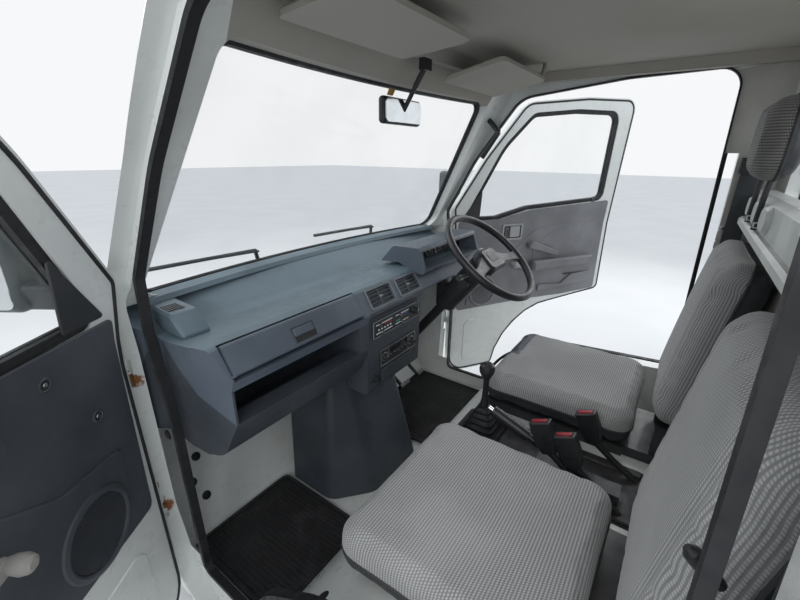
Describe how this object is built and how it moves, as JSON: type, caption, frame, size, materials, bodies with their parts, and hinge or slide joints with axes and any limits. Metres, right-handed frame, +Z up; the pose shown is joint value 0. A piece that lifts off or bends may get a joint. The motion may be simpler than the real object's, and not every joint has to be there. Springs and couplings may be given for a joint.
{
  "type": "kei truck cab",
  "caption": "Right-hand-drive small truck cab with two swinging doors, windscreen, dashboard, steering wheel, cloth seats and levers.",
  "frame": {"origin": "centre of the four cab mounting holes, on the underside of the two floor rails", "axes": "+X to the passenger's side, +Y to the rear of the cab (the cab faces -Y), +Z up"},
  "size_m": [2.9993, 1.4056, 1.445],
  "materials": {
    "body_paint": "gloss white enamel, rusted at the hinge pockets",
    "underbody_paint": "satin black paint",
    "clear_glass": "clear safety glass",
    "lamp_glass": "ribbed lamp glass",
    "seal_rubber": "matte black rubber",
    "dash_plastic": "grained slate blue-grey plastic",
    "black_plastic": "grained black plastic",
    "roof_lining": "pale grey-beige moulded lining",
    "seat_fabric": "grey tweed in fine dashed rows with dark vinyl sides"
  },
  "bodies": {
    "cab": {"back_panel": "body_paint", "belt_buckles": "black_plastic", "cab_rails": "underbody_paint", "centre_stack": "dash_plastic", "cluster_hood": "dash_plastic", "dash_moulding": "dash_plastic", "dash_vents": "black_plastic", "door_seal_driver": "seal_rubber", "door_seal_passenger": "seal_rubber", "driver_backrest": "seat_fabric", "driver_cushion": "seat_fabric", "floor_mats": "seal_rubber", "floor_pan": "body_paint", "front_bumper": "black_plastic", "front_panel": "body_paint", "gear_lever": "seal_rubber", "grab_handle": "black_plastic", "handbrake": "black_plastic", "headlamps": "lamp_glass", "headliner": "roof_lining", "headrest_ledge": "body_paint", "headrest_pads": "seat_fabric", "heater_cover": "dash_plastic", "interior_mirror": "black_plastic", "passenger_backrest": "seat_fabric", "passenger_cushion": "seat_fabric", "pedals": "black_plastic", "radio_heater_panel": "black_plastic", "rear_gasket": "seal_rubber", "rear_glass": "clear_glass", "roof_panel": "body_paint", "seat_belts": "black_plastic", "seat_frames": "underbody_paint", "seat_platform": "body_paint", "side_frame_driver": "body_paint", "side_frame_passenger": "body_paint", "steering_column": "black_plastic", "sun_visors": "roof_lining", "wheel_house_driver": "body_paint", "wheel_house_passenger": "body_paint", "windscreen_gasket": "seal_rubber", "windscreen_glass": "clear_glass", "windscreen_header": "body_paint", "wipers": "seal_rubber"},
    "passenger_door": {"passenger_door_shell": "body_paint", "passenger_door_trim": "dash_plastic", "passenger_door_glass": "clear_glass", "passenger_door_glass_run": "seal_rubber", "passenger_door_fittings": "black_plastic", "passenger_door_mirror": "black_plastic"},
    "driver_door": {"driver_door_shell": "body_paint", "driver_door_trim": "dash_plastic", "driver_door_glass": "clear_glass", "driver_door_glass_run": "seal_rubber", "driver_door_fittings": "black_plastic", "driver_door_mirror": "black_plastic"},
    "steering_wheel": {"steering_wheel": "black_plastic"},
    "glovebox_lid": {"glovebox_lid": "dash_plastic"}
  },
  "joints": [
    {"name": "passenger_door_hinge", "type": "hinge", "parent": "cab", "child": "passenger_door", "pos_m": [0.684, -0.46, 0.54], "axis": [0, 0, -1], "range_deg": [-55, 7]},
    {"name": "driver_door_hinge", "type": "hinge", "parent": "cab", "child": "driver_door", "pos_m": [-0.684, -0.46, 0.54], "axis": [0, 0, 1], "range_deg": [-57.5, 4.5]},
    {"name": "steering", "type": "hinge", "parent": "cab", "child": "steering_wheel", "pos_m": [-0.316, -0.087, 0.829], "axis": [0, 0.6266, 0.7793], "range_deg": [-540, 540]},
    {"name": "glovebox_lid_hinge", "type": "hinge", "parent": "cab", "child": "glovebox_lid", "pos_m": [0.38, -0.228, 0.743], "axis": [-1, 0, 0], "range_deg": [0, 70]}
  ]
}
